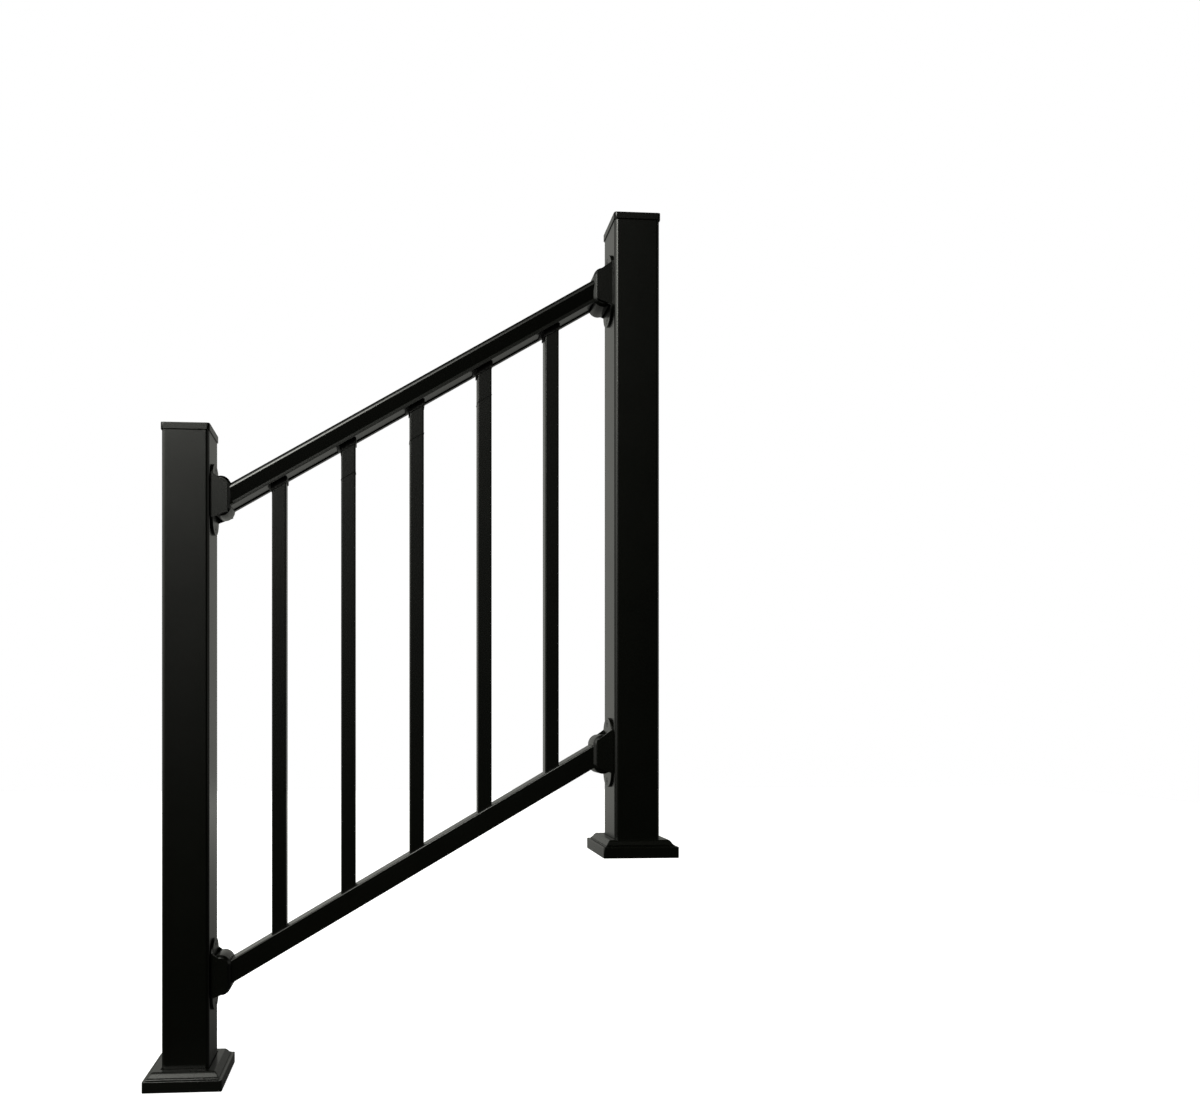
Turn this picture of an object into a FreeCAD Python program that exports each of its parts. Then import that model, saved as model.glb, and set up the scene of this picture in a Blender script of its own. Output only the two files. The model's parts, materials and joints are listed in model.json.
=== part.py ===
import FreeCAD, Part
import math
import os

# Stair railing section: two square posts on different treads, a raked panel between them.
# Millimetres. +X runs up the stair from the lower post, +Y goes away from the viewer, +Z is up.
# The origin is the middle of the underside of the lower post's base plate.

V = FreeCAD.Vector
ORIGIN = V(0, 0, 0)
X_AXIS = V(1, 0, 0)
Y_AXIS = V(0, 1, 0)
Z_AXIS = V(0, 0, 1)

# The stair: where the two feet stand, and the pitch that the rails follow.
PITCH_RISE = 7.0
PITCH_GOING = 12.0
POST_SPACING = 744.0
UPPER_FOOT_DROP = 68.0
PITCH = math.degrees(math.atan2(PITCH_RISE, PITCH_GOING))
TAN_PITCH = PITCH_RISE / PITCH_GOING
COS_PITCH = math.cos(math.radians(PITCH))
FOOT_RISE = POST_SPACING * TAN_PITCH - UPPER_FOOT_DROP

# Posts, caps and feet.
POST_WIDTH = 76.2
POST_WALL = 2.5
POST_CORNER = 6.0
SECTION_HEIGHT = 1078.0
CAP_OVERHANG = 1.4
CAP_HEIGHT = 13.5
CAP_CROWN = 2.0
CAP_CROWN_WIDTH = 38.0
CAP_CORNER = 5.0
CAP_FIT = 0.1
CAP_TOP_WALL = 3.0
PLATE_WIDTH = 114.0
PLATE_THICKNESS = 9.5
PLATE_CORNER = 6.0
ANCHOR_SPACING = 94.0
ANCHOR_HOLE = 11.0
COVER_WIDTH = 126.0
COVER_WALL = 2.5
COVER_PLINTH = 18.5
COVER_PLINTH_CORNER = 2.0
TIER_WIDTH = 115.0
TIER_RISER = 2.0
TIER_STEP_IN = 0.9
TIER_SLOPE_IN = 4.4
TIER_SLOPE_HEIGHT = 6.0
TIER_SHOULDER_IN = 2.2
TIER_SHOULDER_HEIGHT = 2.3
COVER_FIT = 0.3

# Rails: sections square to their own length, heights where their axes cross the lower pivot.
TOP_RAIL_WIDTH = 44.5
TOP_RAIL_HEIGHT = 37.0
TOP_RAIL_WALL = 2.4
TOP_RAIL_DROP = 118.3
SHOULDER_HEAD_DROP = 2.2
SHOULDER_FOOT_DROP = 10.8
SHOULDER_IN = 9.0
SHOULDER_BEND = 2.6
WAIST_IN = 3.6
WAIST_HEIGHT = 6.5
RAIL_FOOT = 2.5
RAIL_LIP = 2.6
RAIL_LIP_THICKNESS = 1.8
SLOT_WALL = 4.4
BOTTOM_RAIL_WIDTH = 38.0
BOTTOM_RAIL_HEIGHT = 34.0
BOTTOM_RAIL_WALL = 2.2
BOTTOM_RAIL_CORNER = 2.0
BOTTOM_RAIL_AXIS = 172.0
STRIP_THICKNESS = 2.5
STRIP_FIT = 0.15
RAIL_END_INSET = 5.0

# Balusters stand plumb and pass through punched openings.
BALUSTERS = 5
BALUSTER_WIDTH = 24.0
BALUSTER_WALL = 1.6
BALUSTER_CORNER = 2.5
BALUSTER_PITCH = 114.3
FIRST_BALUSTER_OUT = 109.4
BALUSTER_FIT = 0.15
BALUSTER_IN_TOP = 14.0
COLLAR_FLANGE_LENGTH = 36.0
COLLAR_FLANGE_DEPTH = 30.0
COLLAR_FLANGE_SHIFT = 3.0
COLLAR_WALL = 1.2
COLLAR_DROP = 8.0

# Stair brackets: an obround flange with two cheeks, and a barrel-nosed cup between them.
# Heights here are measured from the pivot, where the rail's axis crosses the cheeks.
PIVOT_OUT = 20.0
FLANGE_HEIGHT = 118.0
FLANGE_THICKNESS = 4.0
HOUSING_ROOT_TOP = 41.0
HOUSING_ROOT_BOTTOM = 35.0
HOUSING_MOUTH_TOP = 21.0
HOUSING_MOUTH_BOTTOM = 24.5
HOUSING_OUT = 28.0
CHEEK_WALL = 2.5
EAR_HOLE_OUT = 49.0
EAR_HOLE = 6.0
EAR_SINK = 11.5
EAR_SINK_DEPTH = 2.75
NOSE_OUT = 32.3
NOSE_RADIUS = 16.5
CUP_HEIGHT = 66.0
CUP_RISE = 2.5
CUP_WALL = 2.4
CUP_FIT = 0.2
CUP_CHAMFER = 4.0
SWIVEL_FIT = 0.3

# Sizes that follow.
HALF_POST = POST_WIDTH / 2
CUP_WIDTH = TOP_RAIL_WIDTH + 2 * (CUP_FIT + CUP_WALL)
ROOM_WIDTH = CUP_WIDTH + 2 * SWIVEL_FIT
HOUSING_WIDTH = ROOM_WIDTH + 2 * CHEEK_WALL
TOP_RAIL_AXIS = SECTION_HEIGHT - TOP_RAIL_DROP
LOWER_PIVOT_X = HALF_POST + PIVOT_OUT
UPPER_PIVOT_X = POST_SPACING - HALF_POST - PIVOT_OUT
PIVOT_SPAN = (UPPER_PIVOT_X - LOWER_PIVOT_X) / COS_PITCH
RAIL_LENGTH = PIVOT_SPAN + 2 * RAIL_END_INSET
TOP_UNDERSIDE = -TOP_RAIL_HEIGHT / 2
STRIP_UNDERSIDE = TOP_UNDERSIDE + RAIL_LIP_THICKNESS
SLOT_HALF = TOP_RAIL_WIDTH / 2 - SLOT_WALL
BOTTOM_FLOOR = -BOTTOM_RAIL_HEIGHT / 2 + BOTTOM_RAIL_WALL


def block(x_size, y_size, z_size, z_from=0.0):
    """A box centred on the Z axis."""
    return Part.makeBox(x_size, y_size, z_size, V(-x_size / 2, -y_size / 2, z_from))


def rounded_block(x_size, y_size, z_size, radius, z_from=0.0):
    """A centred box with its four upright edges rounded."""
    solid = block(x_size, y_size, z_size, z_from)
    upright = [e for e in solid.Edges if abs(e.tangentAt(e.FirstParameter).z) > 0.9]
    return solid.makeFillet(radius, upright)


def square_tube(width, wall, corner, z_from, z_to):
    """A plumb square tube with rounded outer edges."""
    outer = rounded_block(width, width, z_to - z_from, corner, z_from)
    inner = block(width - 2 * wall, width - 2 * wall, z_to - z_from, z_from)
    return outer.cut(inner)


def on_pitch(shape, x, z):
    """Turn a shape that was drawn level along X up to the stair's pitch and set it at (x, z)."""
    placed = shape.copy()
    placed.rotate(ORIGIN, Y_AXIS, -PITCH)
    placed.translate(V(x, 0, z))
    return placed


def at(shape, x, z):
    placed = shape.copy()
    placed.translate(V(x, 0, z))
    return placed


def post():
    return square_tube(POST_WIDTH, POST_WALL, POST_CORNER, PLATE_THICKNESS, SECTION_HEIGHT - CAP_TOP_WALL)


def post_cap():
    """A slip-over cap: a straight skirt and a low crowned top."""
    width = POST_WIDTH + 2 * CAP_OVERHANG
    skirt_top = SECTION_HEIGHT - CAP_CROWN
    skirt = rounded_block(width, width, CAP_HEIGHT - CAP_CROWN, CAP_CORNER, SECTION_HEIGHT - CAP_HEIGHT)
    crown = pyramid(width - 2 * CAP_CORNER, CAP_CROWN_WIDTH, CAP_CROWN, skirt_top)
    hollow = block(POST_WIDTH + 2 * CAP_FIT, POST_WIDTH + 2 * CAP_FIT,
                   CAP_HEIGHT - CAP_TOP_WALL, SECTION_HEIGHT - CAP_HEIGHT)
    return skirt.fuse(crown).removeSplitter().cut(hollow)


def square_corners(size, z):
    h = size / 2
    return [V(-h, -h, z), V(h, -h, z), V(h, h, z), V(-h, h, z)]


def flat_face(corners):
    return Part.Face(Part.makePolygon(corners + corners[:1]))


def pyramid(bottom, top, height, z_from):
    """A square frustum centred on the Z axis, closed from flat faces."""
    low = square_corners(bottom, z_from)
    high = square_corners(top, z_from + height)
    faces = [flat_face(low[::-1]), flat_face(high)]
    for i in range(4):
        j = (i + 1) % 4
        faces.append(flat_face([low[i], low[j], high[j], high[i]]))
    return Part.Solid(Part.Shell(faces))


def base_plate():
    plate = rounded_block(PLATE_WIDTH, PLATE_WIDTH, PLATE_THICKNESS, PLATE_CORNER)
    half = ANCHOR_SPACING / 2
    for x in (-half, half):
        for y in (-half, half):
            plate = plate.cut(Part.makeCylinder(ANCHOR_HOLE / 2, PLATE_THICKNESS, V(x, y, 0)))
    return plate


def base_cover():
    """A two-tier skirt round the foot: square plinth, and a stepped tier with sloping sides."""
    plinth = rounded_block(COVER_WIDTH, COVER_WIDTH, COVER_PLINTH, COVER_PLINTH_CORNER)
    slope_foot = TIER_WIDTH - 2 * TIER_STEP_IN
    slope_head = slope_foot - 2 * TIER_SLOPE_IN
    tier_top = slope_head - 2 * TIER_SHOULDER_IN
    slope_from = COVER_PLINTH + TIER_RISER
    shoulder_from = slope_from + TIER_SLOPE_HEIGHT
    height = shoulder_from + TIER_SHOULDER_HEIGHT
    riser = block(TIER_WIDTH, TIER_WIDTH, TIER_RISER, COVER_PLINTH)
    slope = pyramid(slope_foot, slope_head, TIER_SLOPE_HEIGHT, slope_from)
    shoulder = pyramid(slope_head, tier_top, TIER_SHOULDER_HEIGHT, shoulder_from)
    body = plinth.fuse([riser, slope, shoulder])
    inside = COVER_WIDTH - 2 * COVER_WALL
    hollow = block(inside, inside, COVER_PLINTH - COVER_WALL)
    upper_inside = tier_top - 2 * COVER_WALL
    upper_hollow = block(upper_inside, upper_inside, height - COVER_WALL)
    opening = block(POST_WIDTH + 2 * COVER_FIT, POST_WIDTH + 2 * COVER_FIT, height)
    return body.cut(hollow).cut(upper_hollow).cut(opening)


def top_rail_outline(grow=0.0):
    """The section in the YZ plane: a foot, sides that lean in to a waist, round shoulders, low crown."""
    half = TOP_RAIL_WIDTH / 2 + grow
    top = TOP_RAIL_HEIGHT / 2 + grow
    foot_top = -top + RAIL_FOOT + 2 * grow
    waist = half - WAIST_IN + grow
    waist_z = -top + WAIST_HEIGHT + 2 * grow
    shoulder_foot = top - SHOULDER_FOOT_DROP
    shoulder_head = top - SHOULDER_HEAD_DROP
    head_y = half - SHOULDER_IN
    near_side = [V(0, -half, shoulder_foot), V(0, -waist, waist_z), V(0, -half, foot_top), V(0, -half, -top)]
    far_side = [V(0, half, -top), V(0, half, foot_top), V(0, waist, waist_z), V(0, half, shoulder_foot)]
    corners = near_side + far_side
    edges = [Part.LineSegment(first, second) for first, second in zip(corners, corners[1:])]
    edges += [
        Part.Arc(V(0, half, shoulder_foot),
                 V(0, half - SHOULDER_BEND, shoulder_head - SHOULDER_BEND),
                 V(0, head_y, shoulder_head)),
        Part.Arc(V(0, head_y, shoulder_head), V(0, 0, top), V(0, -head_y, shoulder_head)),
        Part.Arc(V(0, -head_y, shoulder_head),
                 V(0, -half + SHOULDER_BEND, shoulder_head - SHOULDER_BEND),
                 V(0, -half, shoulder_foot)),
    ]
    return Part.Wire([e.toShape() for e in edges])


def rail_cutter(half_width, z_from, z_to):
    """A block along the whole rail, drawn level from its start."""
    return Part.makeBox(RAIL_LENGTH, 2 * half_width, z_to - z_from, V(0, -half_width, z_from))


def top_rail():
    """An open-bottomed extrusion: a cavity, a slot for the baluster strip and two lips under it."""
    solid = Part.Face(top_rail_outline()).extrude(V(RAIL_LENGTH, 0, 0))
    slot_top = STRIP_UNDERSIDE + STRIP_THICKNESS + STRIP_FIT
    cavity_half = TOP_RAIL_WIDTH / 2 - WAIST_IN - TOP_RAIL_WALL
    cavity = rail_cutter(cavity_half, slot_top, TOP_RAIL_HEIGHT / 2 - SHOULDER_FOOT_DROP)
    slot = rail_cutter(SLOT_HALF, STRIP_UNDERSIDE, slot_top)
    throat = rail_cutter(SLOT_HALF - RAIL_LIP, TOP_UNDERSIDE, STRIP_UNDERSIDE)
    return at(solid.cut(cavity.fuse([slot, throat])), -RAIL_END_INSET, 0)


def bottom_rail():
    """A closed box extrusion, punched on its top face for the balusters."""
    outer = Part.makeBox(RAIL_LENGTH, BOTTOM_RAIL_WIDTH, BOTTOM_RAIL_HEIGHT,
                         V(-RAIL_END_INSET, -BOTTOM_RAIL_WIDTH / 2, -BOTTOM_RAIL_HEIGHT / 2))
    long_edges = [e for e in outer.Edges if abs(e.tangentAt(e.FirstParameter).x) > 0.9]
    outer = outer.makeFillet(BOTTOM_RAIL_CORNER, long_edges)
    wall = BOTTOM_RAIL_WALL
    inner = Part.makeBox(RAIL_LENGTH, BOTTOM_RAIL_WIDTH - 2 * wall, BOTTOM_RAIL_HEIGHT - 2 * wall,
                         V(-RAIL_END_INSET, -BOTTOM_RAIL_WIDTH / 2 + wall, BOTTOM_FLOOR))
    return outer.cut(inner)


def baluster_x(index):
    return HALF_POST + FIRST_BALUSTER_OUT + index * BALUSTER_PITCH


def rail_height(axis_height, x):
    """Height of a rail's axis above the lower foot at a place along the stair."""
    return axis_height + (x - LOWER_PIVOT_X) * TAN_PITCH


def punch(x, width):
    """A plumb square cutter, tall enough to cross a rail."""
    reach = 2 * TOP_RAIL_HEIGHT
    return at(block(width, width, 2 * reach, -reach), x, 0)


def slope_cut(x, z, keep_above):
    """A big block whose one face lies along the pitch through (x, z)."""
    size = 4 * BALUSTER_WIDTH
    cutter = block(size, size, size, -size if keep_above else 0.0)
    return on_pitch(cutter, x, z)


def baluster(index):
    """A plumb tube whose ends are cut to the pitch: on the bottom rail's floor, in the top rail."""
    x = baluster_x(index)
    foot_z = rail_height(BOTTOM_RAIL_AXIS, x) + BOTTOM_FLOOR / COS_PITCH
    head_z = rail_height(TOP_RAIL_AXIS, x) + (STRIP_UNDERSIDE + BALUSTER_IN_TOP) / COS_PITCH
    spare = BALUSTER_WIDTH
    tube = square_tube(BALUSTER_WIDTH, BALUSTER_WALL, BALUSTER_CORNER, foot_z - spare, head_z + spare)
    tube = at(tube, x, 0)
    return tube.cut(slope_cut(x, foot_z, True)).cut(slope_cut(x, head_z, False))


def place_on_top_rail(shape):
    return on_pitch(shape, LOWER_PIVOT_X, TOP_RAIL_AXIS)


def placed_top_rail():
    return place_on_top_rail(top_rail())


def placed_bottom_rail():
    rail = on_pitch(bottom_rail(), LOWER_PIVOT_X, BOTTOM_RAIL_AXIS)
    for index in range(BALUSTERS):
        x = baluster_x(index)
        floor_z = rail_height(BOTTOM_RAIL_AXIS, x) + BOTTOM_FLOOR / COS_PITCH
        cutter = at(punch(x, BALUSTER_WIDTH + 2 * BALUSTER_FIT), 0, floor_z)
        rail = rail.cut(cutter.cut(slope_cut(x, floor_z, True)))
    return rail


def baluster_strip():
    """The strip that closes the top rail from inside its lips, punched for the balusters."""
    width = 2 * (SLOT_HALF - STRIP_FIT)
    strip = Part.makeBox(RAIL_LENGTH, width, STRIP_THICKNESS,
                         V(-RAIL_END_INSET, -width / 2, STRIP_UNDERSIDE))
    strip = place_on_top_rail(strip)
    for index in range(BALUSTERS):
        x = baluster_x(index)
        z = rail_height(TOP_RAIL_AXIS, x)
        strip = strip.cut(at(punch(x, BALUSTER_WIDTH + 2 * BALUSTER_FIT), 0, z))
    return strip


def baluster_collar(index):
    """A moulded collar round a plumb baluster: a flange under the strip and a short sleeve."""
    x = baluster_x(index)
    z = rail_height(TOP_RAIL_AXIS, x)
    opening = BALUSTER_WIDTH + 2 * BALUSTER_FIT
    flange = block(COLLAR_FLANGE_LENGTH, COLLAR_FLANGE_DEPTH, RAIL_LIP_THICKNESS, TOP_UNDERSIDE)
    plumb_crossing = TOP_UNDERSIDE * TAN_PITCH
    flange = on_pitch(at(flange, plumb_crossing - COLLAR_FLANGE_SHIFT, 0), x, z)
    sleeve_width = opening + 2 * COLLAR_WALL
    head_z = z + TOP_UNDERSIDE / COS_PITCH
    foot_z = head_z - COLLAR_DROP / COS_PITCH
    reach = COLLAR_DROP + sleeve_width
    sleeve = at(block(sleeve_width, sleeve_width, 2 * reach, -reach), x, head_z)
    sleeve = sleeve.cut(slope_cut(x, foot_z, True)).cut(slope_cut(x, head_z, False))
    return flange.fuse(sleeve).removeSplitter().cut(at(punch(x, opening), 0, z))


def bracket_flange():
    """An obround plate against the post, with a counterbored hole in each ear."""
    half = HOUSING_WIDTH / 2
    ear_centre = FLANGE_HEIGHT / 2 - half
    plate = Part.makeBox(FLANGE_THICKNESS, HOUSING_WIDTH, 2 * ear_centre, V(0, -half, -ear_centre))
    ends = [Part.makeCylinder(half, FLANGE_THICKNESS, V(0, 0, side * ear_centre), X_AXIS) for side in (1, -1)]
    plate = plate.fuse(ends).removeSplitter()
    sink_from = FLANGE_THICKNESS - EAR_SINK_DEPTH
    for side in (1, -1):
        height = side * EAR_HOLE_OUT
        plate = plate.cut(Part.makeCylinder(EAR_HOLE / 2, FLANGE_THICKNESS, V(0, 0, height), X_AXIS))
        plate = plate.cut(Part.makeCylinder(EAR_SINK / 2, EAR_SINK_DEPTH, V(sink_from, 0, height), X_AXIS))
    return plate


def bracket_housing():
    """Flange and two cheeks in one casting, drawn with the pivot at height 0 and the post at x 0."""
    y = -HOUSING_WIDTH / 2
    outline = flat_face([
        V(0, y, -HOUSING_ROOT_BOTTOM),
        V(HOUSING_OUT, y, -HOUSING_MOUTH_BOTTOM),
        V(HOUSING_OUT, y, HOUSING_MOUTH_TOP),
        V(0, y, HOUSING_ROOT_TOP),
    ])
    cheeks = outline.extrude(V(0, HOUSING_WIDTH, 0))
    room = Part.makeBox(HOUSING_OUT, ROOM_WIDTH, FLANGE_HEIGHT,
                        V(FLANGE_THICKNESS, -ROOM_WIDTH / 2, -FLANGE_HEIGHT / 2))
    return bracket_flange().fuse(cheeks.cut(room)).removeSplitter()


def bracket_cup():
    """A block between the cheeks with a chamfered barrel nose, before the rail's pocket is cut."""
    centre_out = NOSE_OUT - NOSE_RADIUS
    centre_up = CUP_HEIGHT / 2 - NOSE_RADIUS
    y = -CUP_WIDTH / 2
    body = Part.makeBox(2 * NOSE_RADIUS, CUP_WIDTH, 2 * centre_up, V(centre_out - NOSE_RADIUS, y, -centre_up))
    barrels = [Part.makeCylinder(NOSE_RADIUS, CUP_WIDTH, V(centre_out, y, side * centre_up), Y_AXIS)
               for side in (1, -1)]
    body = body.fuse(barrels).removeSplitter()
    ends = [e for e in body.Edges if e.BoundBox.YLength < CUP_FIT]
    body = body.makeChamfer(CUP_CHAMFER, ends)
    clear = Part.makeBox(2 * NOSE_OUT, CUP_WIDTH, CUP_HEIGHT, V(FLANGE_THICKNESS + SWIVEL_FIT, y, -CUP_HEIGHT / 2))
    return at(body.common(clear), 0, CUP_RISE)


def rail_room(outline, axis_height):
    """The room that a rail takes up with its fit, in place: it cuts the pockets of both cups."""
    solid = Part.Face(outline).extrude(V(RAIL_LENGTH + 2 * CUP_FIT, 0, 0))
    return on_pitch(at(solid, -RAIL_END_INSET - CUP_FIT, 0), LOWER_PIVOT_X, axis_height)


def box_outline(width, height):
    """A plain rectangle in the YZ plane."""
    y = width / 2
    z = height / 2
    return Part.makePolygon([V(0, -y, -z), V(0, y, -z), V(0, y, z), V(0, -y, z), V(0, -y, -z)])


def half_turned(shape, axis):
    """Turn a piece for the upper post, which faces back down the stair."""
    turned = shape.copy()
    turned.rotate(ORIGIN, axis, 180)
    return turned


def add_foot(nodes, name, x, z):
    nodes[name + "_post"] = at(post(), x, z)
    nodes[name + "_post_cap"] = at(post_cap(), x, z)
    nodes[name + "_base_plate"] = at(base_plate(), x, z)
    nodes[name + "_base_cover"] = at(base_cover(), x, z)


def add_brackets(nodes, rail_name, outline, axis_height):
    """Both ends of a rail: the castings keep their upright side, the cups turn with the rail."""
    room = rail_room(outline, axis_height)
    housing = bracket_housing()
    cup = bracket_cup()
    upper_face = POST_SPACING - HALF_POST
    upper_height = rail_height(axis_height, UPPER_PIVOT_X)
    nodes["lower_" + rail_name + "_bracket"] = at(housing, HALF_POST, axis_height)
    nodes["lower_" + rail_name + "_cup"] = at(cup, HALF_POST, axis_height).cut(room)
    nodes["upper_" + rail_name + "_bracket"] = at(half_turned(housing, Z_AXIS), upper_face, upper_height)
    nodes["upper_" + rail_name + "_cup"] = at(half_turned(cup, Y_AXIS), upper_face, upper_height).cut(room)


def build():
    nodes = {}
    add_foot(nodes, "lower", 0, 0)
    add_foot(nodes, "upper", POST_SPACING, FOOT_RISE)
    nodes["top_rail"] = placed_top_rail()
    nodes["baluster_strip"] = baluster_strip()
    nodes["bottom_rail"] = placed_bottom_rail()
    for index in range(BALUSTERS):
        nodes["baluster_%d" % (index + 1)] = baluster(index)
        nodes["baluster_collar_%d" % (index + 1)] = baluster_collar(index)
    bottom_outline = box_outline(BOTTOM_RAIL_WIDTH + 2 * CUP_FIT, BOTTOM_RAIL_HEIGHT + 2 * CUP_FIT)
    add_brackets(nodes, "top", top_rail_outline(CUP_FIT), TOP_RAIL_AXIS)
    add_brackets(nodes, "bottom", bottom_outline, BOTTOM_RAIL_AXIS)
    return nodes


def main():
    os.makedirs("parts", exist_ok=True)
    for name, shape in build().items():
        shape.exportStep(os.path.join("parts", name + ".step"))


main()
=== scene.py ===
# %% [markdown]
# # A black stair railing section in Blender
#
# The object is a short raked railing: two square posts on different treads, a crowned top rail,
# a box-section bottom rail, five plumb balusters and four stair brackets. The shapes come from
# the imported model. This notebook gives them their edges, their powder coat, the few small parts
# that are too fine for the model, and a plain pale studio.

# %% Load the frame
import json
import math

import bmesh
import bpy
from mathutils import Matrix, Vector


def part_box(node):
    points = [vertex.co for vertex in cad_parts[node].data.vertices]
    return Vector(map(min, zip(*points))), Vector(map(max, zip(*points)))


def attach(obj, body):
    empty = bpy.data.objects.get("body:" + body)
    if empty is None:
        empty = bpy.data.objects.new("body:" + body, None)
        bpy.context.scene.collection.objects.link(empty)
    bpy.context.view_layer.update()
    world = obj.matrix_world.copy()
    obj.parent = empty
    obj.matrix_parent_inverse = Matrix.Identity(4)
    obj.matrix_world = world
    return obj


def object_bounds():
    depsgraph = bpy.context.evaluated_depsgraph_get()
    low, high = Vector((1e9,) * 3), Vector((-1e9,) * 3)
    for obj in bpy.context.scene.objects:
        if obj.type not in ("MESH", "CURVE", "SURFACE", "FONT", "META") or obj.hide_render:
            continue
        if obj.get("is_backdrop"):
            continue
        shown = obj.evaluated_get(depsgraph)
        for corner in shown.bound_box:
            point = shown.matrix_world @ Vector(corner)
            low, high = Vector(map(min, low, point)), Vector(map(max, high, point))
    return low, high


MM = 0.001

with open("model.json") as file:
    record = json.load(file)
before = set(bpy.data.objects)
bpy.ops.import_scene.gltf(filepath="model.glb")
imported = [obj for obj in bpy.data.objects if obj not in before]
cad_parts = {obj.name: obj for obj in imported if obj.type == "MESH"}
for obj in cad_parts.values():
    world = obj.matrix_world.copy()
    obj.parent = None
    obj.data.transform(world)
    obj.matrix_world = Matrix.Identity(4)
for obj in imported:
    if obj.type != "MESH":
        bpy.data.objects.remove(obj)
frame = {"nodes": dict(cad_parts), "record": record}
cad_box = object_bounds()
nodes = frame["nodes"]
print("nodes:", len(nodes), "box:", [round(v, 3) for v in cad_box[1]])

# %% [markdown]
# ## The camera
#
# The picture was taken by a level camera, because every plumb edge in it is upright. A level
# camera that shows the foot and the cap at once needs its film shifted, as a view camera does,
# instead of being tipped. The lens, the place and the small turn come from edges measured in the
# picture.

# %% Camera
PICTURE_WIDTH = 1200
PICTURE_HEIGHT = 1113
FOCAL_PIXELS = 900.0
MIDDLE_X = 444.2
HORIZON_Y = 719.0
CAMERA_PLACE = Vector((0.3270, -1.5189, 0.5953))
CAMERA_TURN = 0.063
CAMERA_REACH = 100.0
FILM_WIDTH = 36.0
LEVEL_VIEW = math.radians(90)


def add_object(name, data):
    """Put one object into the scene."""
    obj = bpy.data.objects.new(name, data)
    bpy.context.scene.collection.objects.link(obj)
    return obj


def make_camera():
    data = bpy.data.cameras.new("studio_camera")
    data.sensor_width = FILM_WIDTH
    data.lens = FOCAL_PIXELS * FILM_WIDTH / PICTURE_WIDTH
    data.shift_x = (PICTURE_WIDTH / 2 - MIDDLE_X) / PICTURE_WIDTH
    data.shift_y = (HORIZON_Y - PICTURE_HEIGHT / 2) / PICTURE_WIDTH
    data.clip_end = CAMERA_REACH
    camera = add_object("studio_camera", data)
    camera.location = CAMERA_PLACE
    camera.rotation_euler = (LEVEL_VIEW, 0, -CAMERA_TURN)
    bpy.context.scene.camera = camera
    return data


lens = make_camera()
print("lens:", round(lens.lens, 1), "mm, shift:", round(lens.shift_x, 3), round(lens.shift_y, 3))

# %% [markdown]
# ## Colours and nodes
#
# Colours are written as the hex values that a paint program shows, which are sRGB. Shaders work
# with linear light, so one function turns them. One more function adds a shader node with its
# settings and its links, so that a material reads as a short list.

# %% Colour and node helpers
WHITE = (1.0, 1.0, 1.0, 1.0)


def linear(hex_colour):
    """Turn an sRGB hex colour into linear RGBA."""
    channels = [int(hex_colour[i:i + 2], 16) / 255 for i in (1, 3, 5)]
    turned = [c / 12.92 if c <= 0.04045 else ((c + 0.055) / 1.055) ** 2.4 for c in channels]
    return (*turned, 1.0)


def add_node(tree, kind, inputs=None, **settings):
    """Add one node: settings are its properties, inputs are values or output sockets."""
    node = tree.nodes.new(kind)
    for name, value in settings.items():
        setattr(node, name, value)
    for name, value in (inputs or {}).items():
        if isinstance(value, bpy.types.NodeSocket):
            tree.links.new(value, node.inputs[name])
        else:
            node.inputs[name].default_value = value
    return node


def new_material(name):
    """Make a material with an empty node tree."""
    material = bpy.data.materials.new(name)
    material.use_nodes = True
    material.node_tree.nodes.clear()
    return material, material.node_tree


print("mid grey in linear light:", round(linear("#808080")[0], 3))

# %% [markdown]
# ## Powder coat on aluminium
#
# The rails, posts and balusters are extruded aluminium with a baked polyester powder coat. The
# powder melts and flows, which leaves a satin skin with a faint orange peel a couple of
# millimetres across. So the shader is a black dielectric, not a metal: nearly all the light that
# it shows is the gloss of the clear resin, weak where it is seen square on and strong at a slant.

# %% Powder coat
RESIN_IOR = 1.5
GLOSS_SPREAD = 0.02
MOTTLE_SIZE = 60 * MM
MOTTLE_DETAIL = 3.0
MOTTLE_ROUGHNESS = 0.55
PEEL_SIZE = 2.4 * MM
PEEL_DETAIL = 1.5
PEEL_ROUGHNESS = 0.5
MIX_COLOUR_A, MIX_COLOUR_B, MIX_COLOUR_OUT = 6, 7, 2


def powder_coat(name, colour, light_colour, roughness, peel_size, peel_height):
    material, tree = new_material(name)
    place = add_node(tree, "ShaderNodeTexCoord").outputs["Object"]
    mottle = add_node(tree, "ShaderNodeTexNoise",
                      {"Vector": place, "Scale": 1 / MOTTLE_SIZE, "Detail": MOTTLE_DETAIL,
                       "Roughness": MOTTLE_ROUGHNESS}).outputs["Fac"]
    tint = add_node(tree, "ShaderNodeMix",
                    {"Factor": mottle, MIX_COLOUR_A: linear(colour),
                     MIX_COLOUR_B: linear(light_colour)}, data_type="RGBA")
    gloss = add_node(tree, "ShaderNodeMapRange",
                     {"Value": mottle, "To Min": roughness - GLOSS_SPREAD,
                      "To Max": roughness + GLOSS_SPREAD})
    peel = add_node(tree, "ShaderNodeTexNoise",
                    {"Vector": place, "Scale": 1 / peel_size, "Detail": PEEL_DETAIL,
                     "Roughness": PEEL_ROUGHNESS})
    bump = add_node(tree, "ShaderNodeBump",
                    {"Height": peel.outputs["Fac"], "Distance": peel_height, "Strength": 1.0})
    shader = add_node(tree, "ShaderNodeBsdfPrincipled",
                      {"Base Color": tint.outputs[MIX_COLOUR_OUT],
                       "Roughness": gloss.outputs["Result"], "IOR": RESIN_IOR,
                       "Normal": bump.outputs["Normal"]})
    add_node(tree, "ShaderNodeOutputMaterial", {"Surface": shader.outputs["BSDF"]})
    return material


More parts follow.
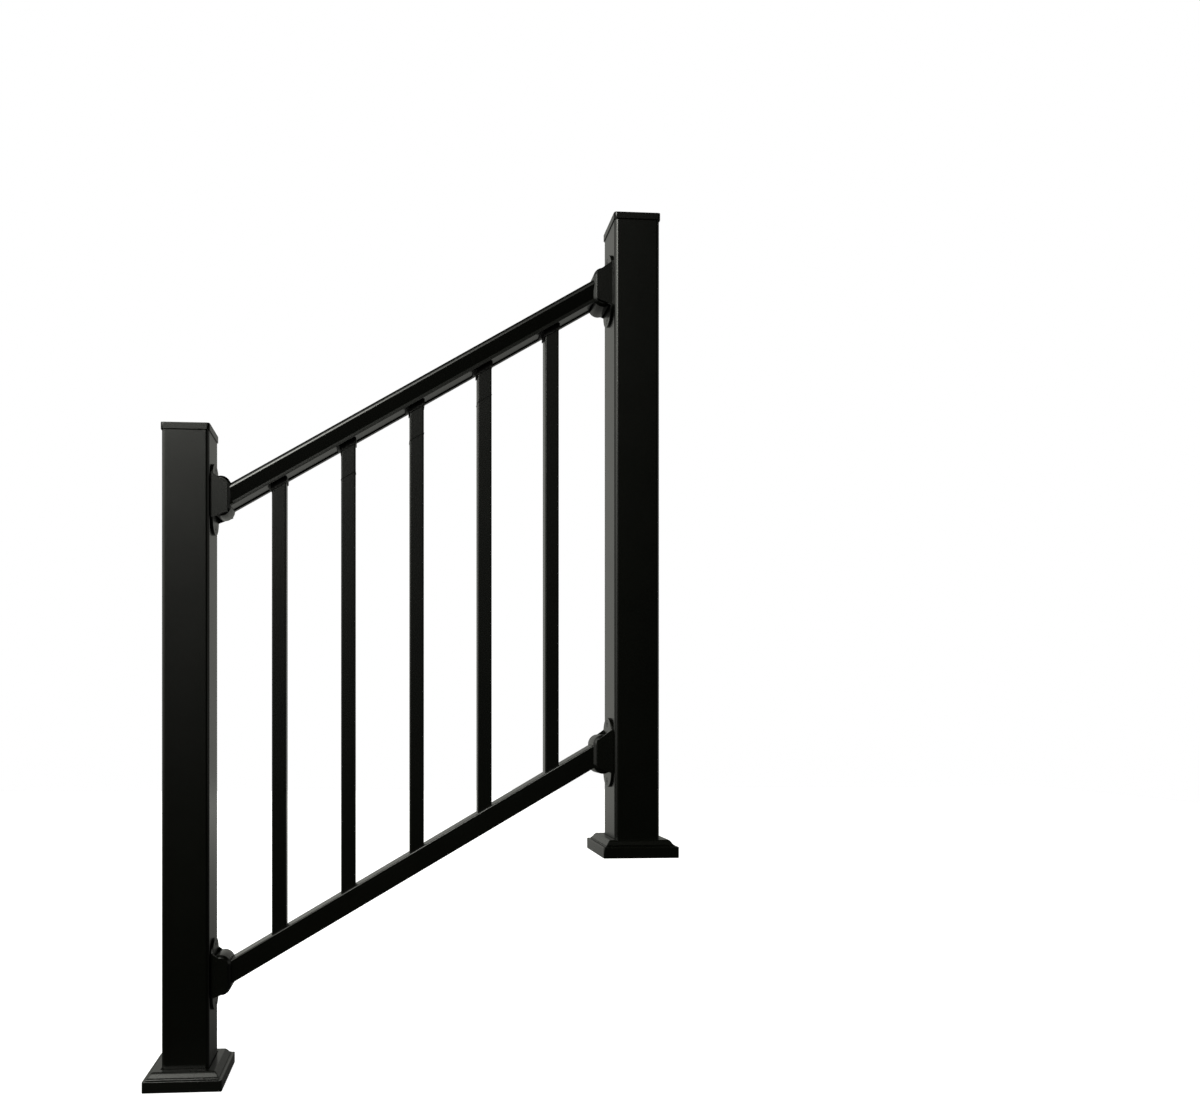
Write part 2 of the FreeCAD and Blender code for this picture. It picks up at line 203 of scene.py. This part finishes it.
extrusion_coat = powder_coat(
    "powder_coated_extrusion", "#020301", "#040502", 0.25, PEEL_SIZE, 0.006 * MM)
casting_coat = powder_coat(
    "powder_coated_casting", "#020301", "#040502", 0.27, PEEL_SIZE, 0.012 * MM)
# matt black for the seam lips, and for the collars, which are painted shade under the top rail
matt_black_for_seams_and_shade_collars = powder_coat(
    "matt_black_for_seams_and_shade_collars", "#020301", "#040402", 0.55, PEEL_SIZE / 2, 0.02 * MM)
screw_steel = powder_coat(
    "black_oxide_screw", "#030303", "#050505", 0.30, PEEL_SIZE, 0.005 * MM)
for coat in (extrusion_coat, casting_coat, matt_black_for_seams_and_shade_collars, screw_steel):
    print("coat:", coat.name, "with", len(coat.node_tree.nodes), "nodes")

# %% [markdown]
# ## A finish for each piece
#
# The whole railing is coated in one colour. A casting's skin is rougher than an extrusion's, so its
# coat is a little duller. The collars at the baluster tops are painted shade: black pieces that stand
# for the shade under the top rail where each baluster meets it, given a matt finish. Each piece
# could be named here with its coat, but the model's record already says what every piece is made of,
# so the coats are given by that.

# %% Give each node its finish
SLOT_FINISH = {
    "powder_coated_aluminium": extrusion_coat,
    "powder_coated_cast_aluminium": casting_coat,
    # the collars in this slot are painted shade: dark pieces where the top rail shades each baluster
    "black_nylon": matt_black_for_seams_and_shade_collars,
}
SLOTS = {part["node"]: part["material_slot"] for part in frame["record"]["subparts"]}


def finish_nodes():
    counts = dict.fromkeys(SLOT_FINISH, 0)
    for name, obj in nodes.items():
        obj.data.materials.clear()
        obj.data.materials.append(SLOT_FINISH[SLOTS[name]])
        counts[SLOTS[name]] += 1
    return counts


print("pieces of each finish:", finish_nodes())

# %% [markdown]
# ## Edges
#
# Powder rounds every edge a little. The thin light line that a product picture shows along each
# arris comes from that rounding, so each kind of piece gets a bevel of about its real radius. The
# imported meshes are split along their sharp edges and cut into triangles, and a bevel can't round an
# open edge and slips along a triangle's, so a weld joins the faces first and a planar decimate
# makes each flat one face again. The posts, rails and balusters stay as they are: their corners and
# the rail's crown are already round.

# %% Softened edges
WELD_DISTANCE = 0.01 * MM
FLAT_ANGLE = math.radians(1)
EDGE_ANGLE = math.radians(38)
EDGE_SEGMENTS = 3
EDGE_WIDTHS = {
    "post_cap": 0.9 * MM,
    "base_cover": 1.2 * MM,
    "bracket": 0.5 * MM,
    "cup": 0.5 * MM,
    "collar": 0.3 * MM,
}


def soften(obj, width):
    weld = obj.modifiers.new("joined_faces", "WELD")
    weld.merge_threshold = WELD_DISTANCE
    flatten = obj.modifiers.new("whole_flats", "DECIMATE")
    flatten.decimate_type = "DISSOLVE"
    flatten.angle_limit = FLAT_ANGLE
    bevel = obj.modifiers.new("softened_edges", "BEVEL")
    bevel.width = width
    bevel.segments = EDGE_SEGMENTS
    bevel.limit_method = "ANGLE"
    bevel.angle_limit = EDGE_ANGLE
    bevel.harden_normals = True
    bevel.use_clamp_overlap = False


for kind, width in EDGE_WIDTHS.items():
    softened = [obj for name, obj in nodes.items() if kind in name]
    for obj in softened:
        soften(obj, width)
    print("softened:", len(softened), kind, "by", round(width / MM, 1), "mm")

# %% [markdown]
# ## Bracket screws
#
# Two socket screws hold each bracket's flange to its post. Their heads lie in the counterbores
# that the model has in the bracket's ears. A head could be a cylinder with a drilled hole, but one
# outline turned round the screw's axis gives the shank, the rounded rim and the socket at once.

# %% Screw mesh
HEAD_RADIUS = 5.5 * MM
HEAD_DEPTH = 2.6 * MM
HEAD_ROUNDING = 0.3 * MM
SOCKET_RADIUS = 2.1 * MM
SOCKET_DEPTH = 1.6 * MM
SHANK_RADIUS = 2.7 * MM
SHANK_DEPTH = 6 * MM
SCREW_SIDES = 24
SCREW_OUTLINE = (
    (SHANK_RADIUS, -SHANK_DEPTH),
    (SHANK_RADIUS, -HEAD_DEPTH),
    (HEAD_RADIUS, -HEAD_DEPTH),
    (HEAD_RADIUS, -HEAD_ROUNDING),
    (HEAD_RADIUS - HEAD_ROUNDING, 0.0),
    (SOCKET_RADIUS, 0.0),
    (SOCKET_RADIUS, -SOCKET_DEPTH),
)


def ring(mesh, radius, height):
    """A loop of vertices round the screw's own axis, which is X."""
    angles = [2 * math.pi * i / SCREW_SIDES for i in range(SCREW_SIDES)]
    return [mesh.verts.new((height, radius * math.cos(a), radius * math.sin(a))) for a in angles]


def bridge(mesh, first, second):
    """A band of faces from one loop of vertices to the next."""
    count = len(first)
    for i in range(count):
        j = (i + 1) % count
        mesh.faces.new((first[i], first[j], second[j], second[i]))


def mesh_data(mesh, name, material):
    """Turn the faces outward and keep the mesh with its material."""
    bmesh.ops.recalc_face_normals(mesh, faces=mesh.faces)
    data = bpy.data.meshes.new(name)
    mesh.to_mesh(data)
    mesh.free()
    data.materials.append(material)
    return data


def screw_mesh():
    mesh = bmesh.new()
    rings = [ring(mesh, radius, height) for radius, height in SCREW_OUTLINE]
    for first, second in zip(rings, rings[1:]):
        bridge(mesh, first, second)
    mesh.faces.new(rings[-1])
    mesh.faces.new(reversed(rings[0]))
    return mesh_data(mesh, "bracket_screw", screw_steel)


screw_data = screw_mesh()
print("screw:", len(screw_data.vertices), "vertices,", len(screw_data.polygons), "faces")

# %% Bracket screws
FLANGE_THICKNESS = 4 * MM
HEAD_SUNK = 0.1 * MM
EAR_TO_SCREW = 10 * MM


def place_screw(name, place, outward):
    screw = add_object(name, screw_data)
    screw.location = place
    screw.rotation_euler = (0, 0, 0 if outward > 0 else math.pi)
    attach(screw, "root")


for end, outward in (("lower", 1), ("upper", -1)):
    post_low, post_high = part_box(end + "_post")
    post_face = post_high[0] if outward > 0 else post_low[0]
    for rail in ("top", "bottom"):
        low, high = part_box(end + "_" + rail + "_bracket")
        middle_y = (low[1] + high[1]) / 2
        for spot, height in (("upper", high[2] - EAR_TO_SCREW), ("lower", low[2] + EAR_TO_SCREW)):
            name = "_".join((end, rail, "bracket", spot, "screw"))
            place = (post_face + outward * (FLANGE_THICKNESS - HEAD_SUNK), middle_y, height)
            place_screw(name, place, outward)
            print(name, "at", [round(v, 4) for v in place])

# %% [markdown]
# ## Sleeve seams
#
# Three of the balusters have a hairline joint near the top, cut on the rake of the stair, where a
# sleeve ends. It is a millimetre or so high, too fine for the model, so it is a thin lip round the
# tube. Its face leans in towards its lower edge, so it mirrors the dark floor in front and draws a
# dark line. A bump could draw the line too, but a lip also shows against the light.

# %% Rake and outline of a seam
SEAM_CORNER = 2.6 * MM
CORNER_STEPS = 4
FIRST_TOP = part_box("baluster_1")[1]
LAST_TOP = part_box("baluster_5")[1]
RAKE = (LAST_TOP[2] - FIRST_TOP[2]) / (LAST_TOP[0] - FIRST_TOP[0])


def tube_outline(half_width):
    """The tube's square outline with rounded corners, seen from above."""
    corner = half_width - SEAM_CORNER
    outline = []
    for quarter in range(4):
        middle = Matrix.Rotation(math.pi / 2 * quarter, 2) @ Vector((corner, corner))
        for step in range(CORNER_STEPS + 1):
            angle = math.pi / 2 * (quarter + step / CORNER_STEPS)
            outline.append(middle + SEAM_CORNER * Vector((math.cos(angle), math.sin(angle))))
    return outline


print("rake of the stair:", round(RAKE, 4))

# %% Sleeve seams
SEAM_BALUSTERS = (2, 3, 4)
SEAM_DROP = 82 * MM
SEAM_HEIGHT = 1.6 * MM
SEAM_PROUD = 0.6 * MM
SEAM_FLUSH = 0.05 * MM
SEAM_SECTION = (
    (-SEAM_PROUD, 0.0),
    (SEAM_FLUSH, 0.0),
    (SEAM_PROUD, SEAM_HEIGHT),
    (-SEAM_PROUD, SEAM_HEIGHT),
)


def make_seam(number):
    low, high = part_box(f"baluster_{number}")
    middle = Vector(((low[0] + high[0]) / 2, (low[1] + high[1]) / 2, high[2] - SEAM_DROP))
    half_width = (high[1] - low[1]) / 2
    mesh = bmesh.new()
    loops = []
    for proud, rise in SEAM_SECTION:
        loops.append([mesh.verts.new(middle + Vector((p.x, p.y, p.x * RAKE + rise)))
                      for p in tube_outline(half_width + proud)])
    for first, second in zip(loops, loops[1:] + loops[:1]):
        bridge(mesh, first, second)
    data = mesh_data(mesh, f"baluster_{number}_sleeve_seam", matt_black_for_seams_and_shade_collars)
    seam = add_object(data.name, data)
    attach(seam, "root")
    return middle


for number in SEAM_BALUSTERS:
    print("seam on baluster", number, "at", [round(v, 4) for v in make_seam(number)])

# %% [markdown]
# ## The floor
#
# A product picture like this one is cut out on white, so the floor is white to the camera, and it
# only keeps the railing's soft shadow. What the gloss mirrors is another matter: to every other ray
# the floor is a plain glow, dark in front of the railing and paler the farther it lies behind. So
# the undersides and the feet stay as dark as in a real studio with its lights aimed at the back.

# %% Floor
FLOOR_SIZE = 12.0
ROOM_TINT = (1.0, 1.01, 0.93, 1)
PAPER_GREY = (0.5, 0.5, 0.5, 1)
CAMERA_FLOOR_GLOW = 0.95
FLOOR_FRONT_LEVEL = 0.01
FLOOR_NEAR_LEVEL = 0.10
FLOOR_BACK_LEVEL = 0.48
NEAR_FROM_Y, NEAR_TO_Y = -0.4, 0.4
BACK_FROM_Y, BACK_TO_Y = 0.2, 4.5


def make_floor():
    mesh = bpy.data.meshes.new("floor")
    half = FLOOR_SIZE / 2
    corners = [(-half, -half, 0), (half, -half, 0), (half, half, 0), (-half, half, 0)]
    mesh.from_pydata(corners, [], [(0, 1, 2, 3)])
    floor = add_object("floor", mesh)
    floor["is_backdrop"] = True
    return floor


def paper_material():
    material, tree = new_material("white_paper_floor")
    seen = add_node(tree, "ShaderNodeLightPath")
    place = add_node(tree, "ShaderNodeTexCoord")
    split = add_node(tree, "ShaderNodeSeparateXYZ", {"Vector": place.outputs["Object"]})
    near = add_node(tree, "ShaderNodeMapRange",
                    {"Value": split.outputs["Y"], "From Min": NEAR_FROM_Y, "From Max": NEAR_TO_Y,
                     "To Min": FLOOR_FRONT_LEVEL, "To Max": FLOOR_NEAR_LEVEL},
                    interpolation_type="SMOOTHSTEP")
    far = add_node(tree, "ShaderNodeMapRange",
                   {"Value": split.outputs["Y"], "From Min": BACK_FROM_Y, "From Max": BACK_TO_Y,
                    "To Min": 0.0, "To Max": FLOOR_BACK_LEVEL - FLOOR_NEAR_LEVEL})
    level = add_node(tree, "ShaderNodeMath",
                     {0: near.outputs["Result"], 1: far.outputs["Result"]}, operation="ADD")
    mirrored = add_node(tree, "ShaderNodeEmission",
                        {"Color": ROOM_TINT, "Strength": level.outputs[0]})
    paper = add_node(tree, "ShaderNodeBsdfDiffuse", {"Color": PAPER_GREY})
    glow = add_node(tree, "ShaderNodeEmission", {"Color": WHITE, "Strength": CAMERA_FLOOR_GLOW})
    both = add_node(tree, "ShaderNodeAddShader", {0: paper.outputs[0], 1: glow.outputs[0]})
    mixed = add_node(tree, "ShaderNodeMixShader",
                     {"Fac": seen.outputs["Is Camera Ray"], 1: mirrored.outputs[0],
                      2: both.outputs[0]})
    add_node(tree, "ShaderNodeOutputMaterial", {"Surface": mixed.outputs[0]})
    return material


make_floor().data.materials.append(paper_material())
print("floor:", FLOOR_SIZE, "m square, glow behind", FLOOR_BACK_LEVEL)

# %% [markdown]
# ## The room that the gloss mirrors
#
# Black gloss shows only what it mirrors, so the room is made first and the lamp second. Real walls
# and lamps could stand round the railing, but levels that are written on the world, by direction,
# are easy to read and to change, and they add no noise. The next cells need the direction of a ray
# and its three parts.

# %% World
def new_world():
    world = bpy.data.worlds.new("studio")
    world.use_nodes = True
    world.node_tree.nodes.clear()
    bpy.context.scene.world = world
    return world.node_tree


room = new_world()
direction = add_node(room, "ShaderNodeTexCoord").outputs["Generated"]
split = add_node(room, "ShaderNodeSeparateXYZ", {"Vector": direction})
print("parts of a direction:", [part.name for part in split.outputs])

# %% [markdown]
# ## The walls
#
# Behind the railing the wall is pale, and that greys the sides of the posts, which are seen at a
# slant. It is paler at the left and dark near the ceiling. A soft patch on each side wall keeps the
# railing's two ends from going flat black.

# %% Walls
FRONT_LEVEL = 0.006
BACK_LEVEL = 0.38
BACK_TOP_LEVEL = 0.05
BACK_LEFT_SHARE, BACK_RIGHT_SHARE = 1.35, 0.75
SIDE_WALL_LEVEL = 0.5
FRONT_Y, BACK_Y = -0.1, 0.7
LEFT_X, RIGHT_X = -0.35, 0.3
WALL_Z, CEILING_Z = 0.5, 0.85
PATCH_FROM, PATCH_TO = 0.75, 1.0


def walls(tree, split):
    """Pale behind, paler at the left, dark overhead, and a soft patch on each side wall."""
    depth = add_node(tree, "ShaderNodeMapRange",
                     {"Value": split.outputs["Y"], "From Min": FRONT_Y, "From Max": BACK_Y,
                      "To Min": FRONT_LEVEL, "To Max": BACK_LEVEL},
                     interpolation_type="SMOOTHSTEP")
    side = add_node(tree, "ShaderNodeMapRange",
                    {"Value": split.outputs["X"], "From Min": LEFT_X, "From Max": RIGHT_X,
                     "To Min": BACK_LEFT_SHARE, "To Max": BACK_RIGHT_SHARE},
                    interpolation_type="SMOOTHSTEP")
    height = add_node(tree, "ShaderNodeMapRange",
                      {"Value": split.outputs["Z"], "From Min": WALL_Z, "From Max": CEILING_Z,
                       "To Min": 1.0, "To Max": BACK_TOP_LEVEL},
                      interpolation_type="SMOOTHSTEP")
    level = add_node(tree, "ShaderNodeMath",
                     {0: depth.outputs["Result"], 1: side.outputs["Result"]},
                     operation="MULTIPLY")
    width = add_node(tree, "ShaderNodeMath", {0: split.outputs["X"]}, operation="ABSOLUTE")
    patches = add_node(tree, "ShaderNodeMapRange",
                       {"Value": width.outputs[0], "From Min": PATCH_FROM, "From Max": PATCH_TO,
                        "To Min": 0.0, "To Max": SIDE_WALL_LEVEL},
                       interpolation_type="SMOOTHSTEP")
    return add_node(tree, "ShaderNodeMath",
                    {0: level.outputs[0], 1: height.outputs["Result"],
                     2: patches.outputs["Result"]}, operation="MULTIPLY_ADD")


wall_level = walls(room, split)
print("walls: front", FRONT_LEVEL, "back", BACK_LEVEL, "sides", SIDE_WALL_LEVEL)

# %% [markdown]
# ## The front light
#
# In front the room is dark but for three lights. A softbox high at the left draws the line along
# the rail's crown. A side window lines the corners that face left. A wide glow fades down the
# fronts of the posts, and it stops short of the right, so that the right post stays darker. Each
# light is a power of the cosine from its middle, because that has a soft edge and one number for
# its width.

# %% Front light
SOFTBOX_TURN = math.radians(-23)
SOFTBOX_HEIGHT = math.radians(35)
SOFTBOX_LEVEL = 25.0
SOFTBOX_POWER = 100.0
SIDE_TURN = math.radians(-55)
SIDE_HEIGHT = math.radians(30)
SIDE_LEVEL = 2.8
SIDE_POWER = 12.0
GLOW_TURN = math.radians(-8)
GLOW_HEIGHT = math.radians(38)
GLOW_LEVEL = 0.33
GLOW_POWER = 8.0
GLOW_RIGHT_SHARE = 0.05
FADE_FROM_X, FADE_TO_X = 0.06, 0.27
FRONT_LIGHTS = (
    (SOFTBOX_TURN, SOFTBOX_HEIGHT, SOFTBOX_LEVEL, SOFTBOX_POWER),
    (SIDE_TURN, SIDE_HEIGHT, SIDE_LEVEL, SIDE_POWER),
    (GLOW_TURN, GLOW_HEIGHT, GLOW_LEVEL, GLOW_POWER),
)


def aim(turn, height):
    """A direction from the railing: turn is from the front to the right, height from level."""
    level = math.cos(height)
    return (math.sin(turn) * level, -math.cos(turn) * level, math.sin(height))


def front_light(tree, direction, split):
    """The softbox, the side window and the glow, with less of the glow to the right."""
    levels = []
    for turn, height, level, power in FRONT_LIGHTS:
        facing = add_node(tree, "ShaderNodeVectorMath", {0: direction, 1: aim(turn, height)},
                          operation="DOT_PRODUCT")
        ahead = add_node(tree, "ShaderNodeMath", {0: facing.outputs["Value"], 1: 0.0},
                         operation="MAXIMUM")
        spread = add_node(tree, "ShaderNodeMath", {0: ahead.outputs[0], 1: power},
                          operation="POWER")
        levels.append(add_node(tree, "ShaderNodeMath", {0: spread.outputs[0], 1: level},
                               operation="MULTIPLY").outputs[0])
    softbox, side, glow = levels
    fade = add_node(tree, "ShaderNodeMapRange",
                    {"Value": split.outputs["X"], "From Min": FADE_FROM_X, "From Max": FADE_TO_X,
                     "To Min": 1.0, "To Max": GLOW_RIGHT_SHARE},
                    interpolation_type="SMOOTHSTEP")
    lamps = add_node(tree, "ShaderNodeMath", {0: softbox, 1: side}, operation="ADD")
    return add_node(tree, "ShaderNodeMath",
                    {0: glow, 1: fade.outputs["Result"], 2: lamps.outputs[0]},
                    operation="MULTIPLY_ADD")


light_level = front_light(room, direction, split)
print("front lights:", len(FRONT_LIGHTS), "the brightest at", SOFTBOX_LEVEL)

# %% [markdown]
# ## White to the camera
#
# The camera sees plain white round the railing, and every other ray sees the room. One world could
# serve both, but then the picture's ground would be grey, so the kind of ray picks between the two.

# %% Room and white ground
def fill_world(tree, wall_level, light_level):
    seen = add_node(tree, "ShaderNodeLightPath")
    level = add_node(tree, "ShaderNodeMath",
                     {0: wall_level.outputs[0], 1: light_level.outputs[0]}, operation="ADD")
    mirrored = add_node(tree, "ShaderNodeBackground",
                        {"Color": ROOM_TINT, "Strength": level.outputs[0]})
    white = add_node(tree, "ShaderNodeBackground", {"Color": WHITE, "Strength": 1.0})
    mixed = add_node(tree, "ShaderNodeMixShader",
                     {"Fac": seen.outputs["Is Camera Ray"], 1: mirrored.outputs[0],
                      2: white.outputs[0]})
    add_node(tree, "ShaderNodeOutputWorld", {"Surface": mixed.outputs[0]})


fill_world(room, wall_level, light_level)
print("world nodes:", len(room.nodes))

# %% [markdown]
# ## Lamp
#
# One softbox hangs overhead and gives the floor its faint contact shadow under the base covers. It
# is hidden from the gloss, which would show it as a hard patch. The Standard view keeps the white
# ground white.

# %% Overhead lamp
LAMP_PLACE = Vector((0.35, 0.2, 3.4))
LAMP_AIM = Vector((0.35, 0.0, 0.0))
LAMP_SIZE = (2.6, 1.4)
LAMP_WATTS = 40


def make_overhead_lamp():
    data = bpy.data.lights.new("overhead_softbox", "AREA")
    data.shape = "RECTANGLE"
    data.size, data.size_y = LAMP_SIZE
    data.energy = LAMP_WATTS
    lamp = add_object("overhead_softbox", data)
    lamp.location = LAMP_PLACE
    lamp.rotation_euler = (LAMP_AIM - LAMP_PLACE).to_track_quat("-Z", "Y").to_euler()
    lamp.visible_glossy = False
    return lamp


print("lamp at", [round(v, 2) for v in make_overhead_lamp().location])
bpy.context.scene.view_settings.view_transform = "Standard"

# %% [markdown]
# ## Measure and finish
#
# The dressed railing has to stay as large as the model that it dresses, so both boxes are printed
# and kept.

# %% Finish
visual_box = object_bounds()
for name, box in (("model", cad_box), ("dressed", visual_box)):
    print(name, [[round(v, 4) for v in corner] for corner in box])
